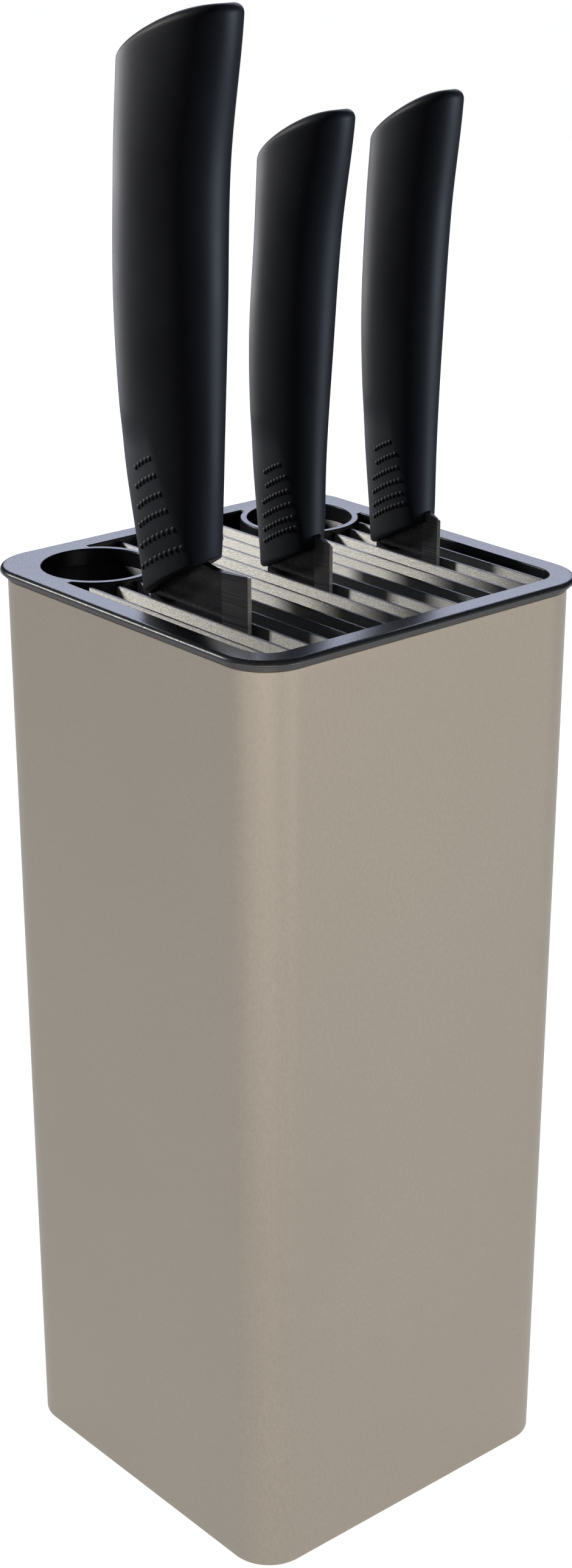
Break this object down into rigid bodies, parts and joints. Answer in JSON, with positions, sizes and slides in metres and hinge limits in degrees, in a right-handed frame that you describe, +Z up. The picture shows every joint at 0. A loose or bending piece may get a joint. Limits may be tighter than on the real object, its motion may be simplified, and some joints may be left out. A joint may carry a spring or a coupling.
{
  "type": "knife block with knives",
  "caption": "Square knife block with a lift-out insert of thin parallel plates, two round holes for scissors and a steel, and black kitchen knives standing in it.",
  "frame": {"origin": "middle of the block's footprint, at the level the feet stand on", "axes": "+Z up, the plates run along X, the cutting edges face +X, the chef's knife is on the -Y side"},
  "size_m": [0.1036, 0.1036, 0.37],
  "materials": {
    "sleeve_lacquer": "satin champagne lacquer on steel sheet",
    "base_plastic": "moulded, matt",
    "foot_rubber": "matt",
    "rim_plastic": "fine spark-eroded satin",
    "frame_plastic": "moulded, satin",
    "plate_metal": "bead-blasted, satin",
    "blade_coating": "black non-stick coating, fine grind lines at the edge",
    "handle_soft_touch": "soft-touch, matt",
    "core_plastic": "moulded"
  },
  "bodies": {
    "casing": {"outer_sleeve": "sleeve_lacquer", "base_tray": "base_plastic", "rubber_feet": "foot_rubber"},
    "insert": {"top_rim": "rim_plastic", "scissor_tube": "frame_plastic", "steel_tube": "frame_plastic", "rail_front": "frame_plastic", "rail_rear": "frame_plastic", "fin_01": "plate_metal", "fin_02": "plate_metal", "fin_03": "plate_metal", "fin_04": "plate_metal", "fin_05": "plate_metal", "fin_06": "plate_metal", "fin_07": "plate_metal", "fin_08": "plate_metal", "fin_09": "plate_metal", "fin_10": "plate_metal", "fin_11": "plate_metal", "fin_12": "plate_metal", "fin_13": "plate_metal", "fin_14": "plate_metal", "fin_15": "plate_metal", "fin_16": "plate_metal"},
    "chef_knife": {"chef_blade": "blade_coating", "chef_handle": "handle_soft_touch", "chef_core": "core_plastic"},
    "utility_knife": {"utility_blade": "blade_coating", "utility_handle": "handle_soft_touch", "utility_core": "core_plastic"},
    "paring_knife": {"paring_blade": "blade_coating", "paring_handle": "handle_soft_touch", "paring_core": "core_plastic"}
  },
  "joints": [
    {"name": "insert_lift", "type": "slide", "parent": "casing", "child": "insert", "axis": [0, 0, 1], "range_m": [0, 0.18]},
    {"name": "chef_knife_draw", "type": "slide", "parent": "insert", "child": "chef_knife", "axis": [0, 0, 1], "range_m": [0, 0.16]},
    {"name": "utility_knife_draw", "type": "slide", "parent": "insert", "child": "utility_knife", "axis": [0, 0, 1], "range_m": [0, 0.13]},
    {"name": "paring_knife_draw", "type": "slide", "parent": "insert", "child": "paring_knife", "axis": [0, 0, 1], "range_m": [0, 0.105]}
  ]
}
